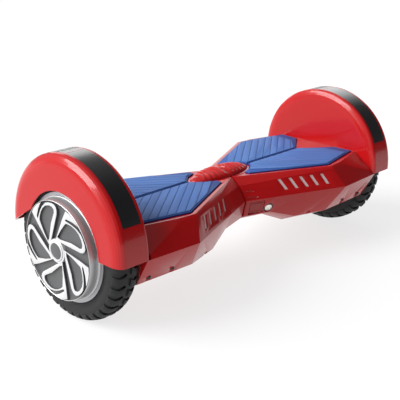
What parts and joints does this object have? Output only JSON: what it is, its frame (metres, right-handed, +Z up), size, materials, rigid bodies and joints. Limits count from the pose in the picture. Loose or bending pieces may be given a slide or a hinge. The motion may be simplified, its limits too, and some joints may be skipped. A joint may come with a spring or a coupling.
{
  "type": "self balancing hoverboard",
  "caption": "Two-wheeled self-balancing board with twisting halves, hub-motor wheels, sprung rubber foot pads, fenders with light strips, push button and covered charge socket.",
  "frame": {"origin": "centre of the overall box, on the floor under the board", "axes": "+X along the board towards the wheel at the power button's half, +Y to the rear, +Z up; the front, with the button and the charge cover, faces -Y"},
  "size_m": [0.6066, 0.236, 0.2274],
  "materials": {
    "red_shell": "gloss red",
    "smoked_strip": "smoked gloss",
    "slot_lens": "translucent pale pink",
    "blue_rubber": "moulded blue rubber",
    "black_plastic": "black",
    "circuit_board": "green board",
    "steel": "machined",
    "dark_steel": "blackened",
    "bronze": "sintered bronze",
    "copper": "enamelled copper wire",
    "cast_alloy": "cast, bead blasted",
    "tyre_rubber": "black tread rubber",
    "hub_plastic": "silver-edged grey petals",
    "battery_wrap": "cell cans in blue shrink wrap",
    "cable": "black sheath",
    "button_metal": "polished",
    "cover_rubber": "soft red rubber"
  },
  "bodies": {
    "right_half": {"frame_right": "cast_alloy", "axle_clamp_right": "steel", "clamp_screws_right": "dark_steel", "top_shell_right": "red_shell", "bottom_shell_right": "red_shell", "shell_screws_right": "steel", "fender_right": "red_shell", "light_strip_front_right": "smoked_strip", "light_strip_rear_right": "smoked_strip", "slot_lenses_right": "slot_lens", "ribbed_bridge_right": "red_shell", "pad_switches_right": "black_plastic", "gyro_board_right": "circuit_board", "wheel_axle_right": "steel", "stator_core_right": "steel", "stator_windings_right": "copper", "pivot_bushes": "bronze", "main_board": "circuit_board", "speaker": "black_plastic", "button_housing": "black_plastic", "charge_socket": "black_plastic"},
    "left_half": {"frame_left": "cast_alloy", "axle_clamp_left": "steel", "clamp_screws_left": "dark_steel", "top_shell_left": "red_shell", "bottom_shell_left": "red_shell", "shell_screws_left": "steel", "fender_left": "red_shell", "light_strip_front_left": "smoked_strip", "light_strip_rear_left": "smoked_strip", "slot_lenses_left": "slot_lens", "ribbed_bridge_left": "red_shell", "pad_switches_left": "black_plastic", "gyro_board_left": "circuit_board", "wheel_axle_left": "steel", "stator_core_left": "steel", "stator_windings_left": "copper", "pivot_shaft": "steel", "pivot_circlip": "dark_steel", "battery_pack": "battery_wrap", "battery_bracket": "steel", "wiring_harness": "cable"},
    "wheel_left": {"motor_housing_left": "cast_alloy", "motor_magnets_left": "dark_steel", "motor_cover_left": "cast_alloy", "wheel_bearings_left": "steel", "tyre_left": "tyre_rubber", "hub_cover_left": "hub_plastic", "hub_cap_left": "black_plastic"},
    "wheel_right": {"motor_housing_right": "cast_alloy", "motor_magnets_right": "dark_steel", "motor_cover_right": "cast_alloy", "wheel_bearings_right": "steel", "tyre_right": "tyre_rubber", "hub_cover_right": "hub_plastic", "hub_cap_right": "black_plastic"},
    "pad_left": {"foot_pad_left": "blue_rubber"},
    "pad_right": {"foot_pad_right": "blue_rubber"},
    "button": {"power_button": "button_metal"},
    "port_cover": {"charge_port_cover": "cover_rubber"}
  },
  "joints": [
    {"name": "waist_twist", "type": "hinge", "parent": "right_half", "child": "left_half", "pos_m": [0, 0, 0.1025], "axis": [1, 0, 0], "range_deg": [-12, 12]},
    {"name": "wheel_left_spin", "type": "hinge", "parent": "left_half", "child": "wheel_left", "pos_m": [-0.267, 0, 0.1025], "axis": [1, 0, 0], "continuous": true},
    {"name": "wheel_right_spin", "type": "hinge", "parent": "right_half", "child": "wheel_right", "pos_m": [0.267, 0, 0.1025], "axis": [1, 0, 0], "continuous": true},
    {"name": "foot_pad_left_press", "type": "slide", "parent": "left_half", "child": "pad_left", "axis": [0, 0, -1], "range_m": [0, 0.0012], "stiffness_N_per_m": 3000, "springref_m": -0.002},
    {"name": "foot_pad_right_press", "type": "slide", "parent": "right_half", "child": "pad_right", "axis": [0, 0, -1], "range_m": [0, 0.0012], "stiffness_N_per_m": 3000, "springref_m": -0.002},
    {"name": "power_button_press", "type": "slide", "parent": "right_half", "child": "button", "axis": [0.37, 0.8429, 0.3907], "range_m": [0, 0.0012], "stiffness_N_per_m": 600, "springref_m": -0.001},
    {"name": "charge_port_cover_hinge", "type": "hinge", "parent": "right_half", "child": "port_cover", "pos_m": [0.01977, -0.05818, 0.10188], "axis": [-0.9157, 0.4019, 0], "range_deg": [0, 95]}
  ]
}
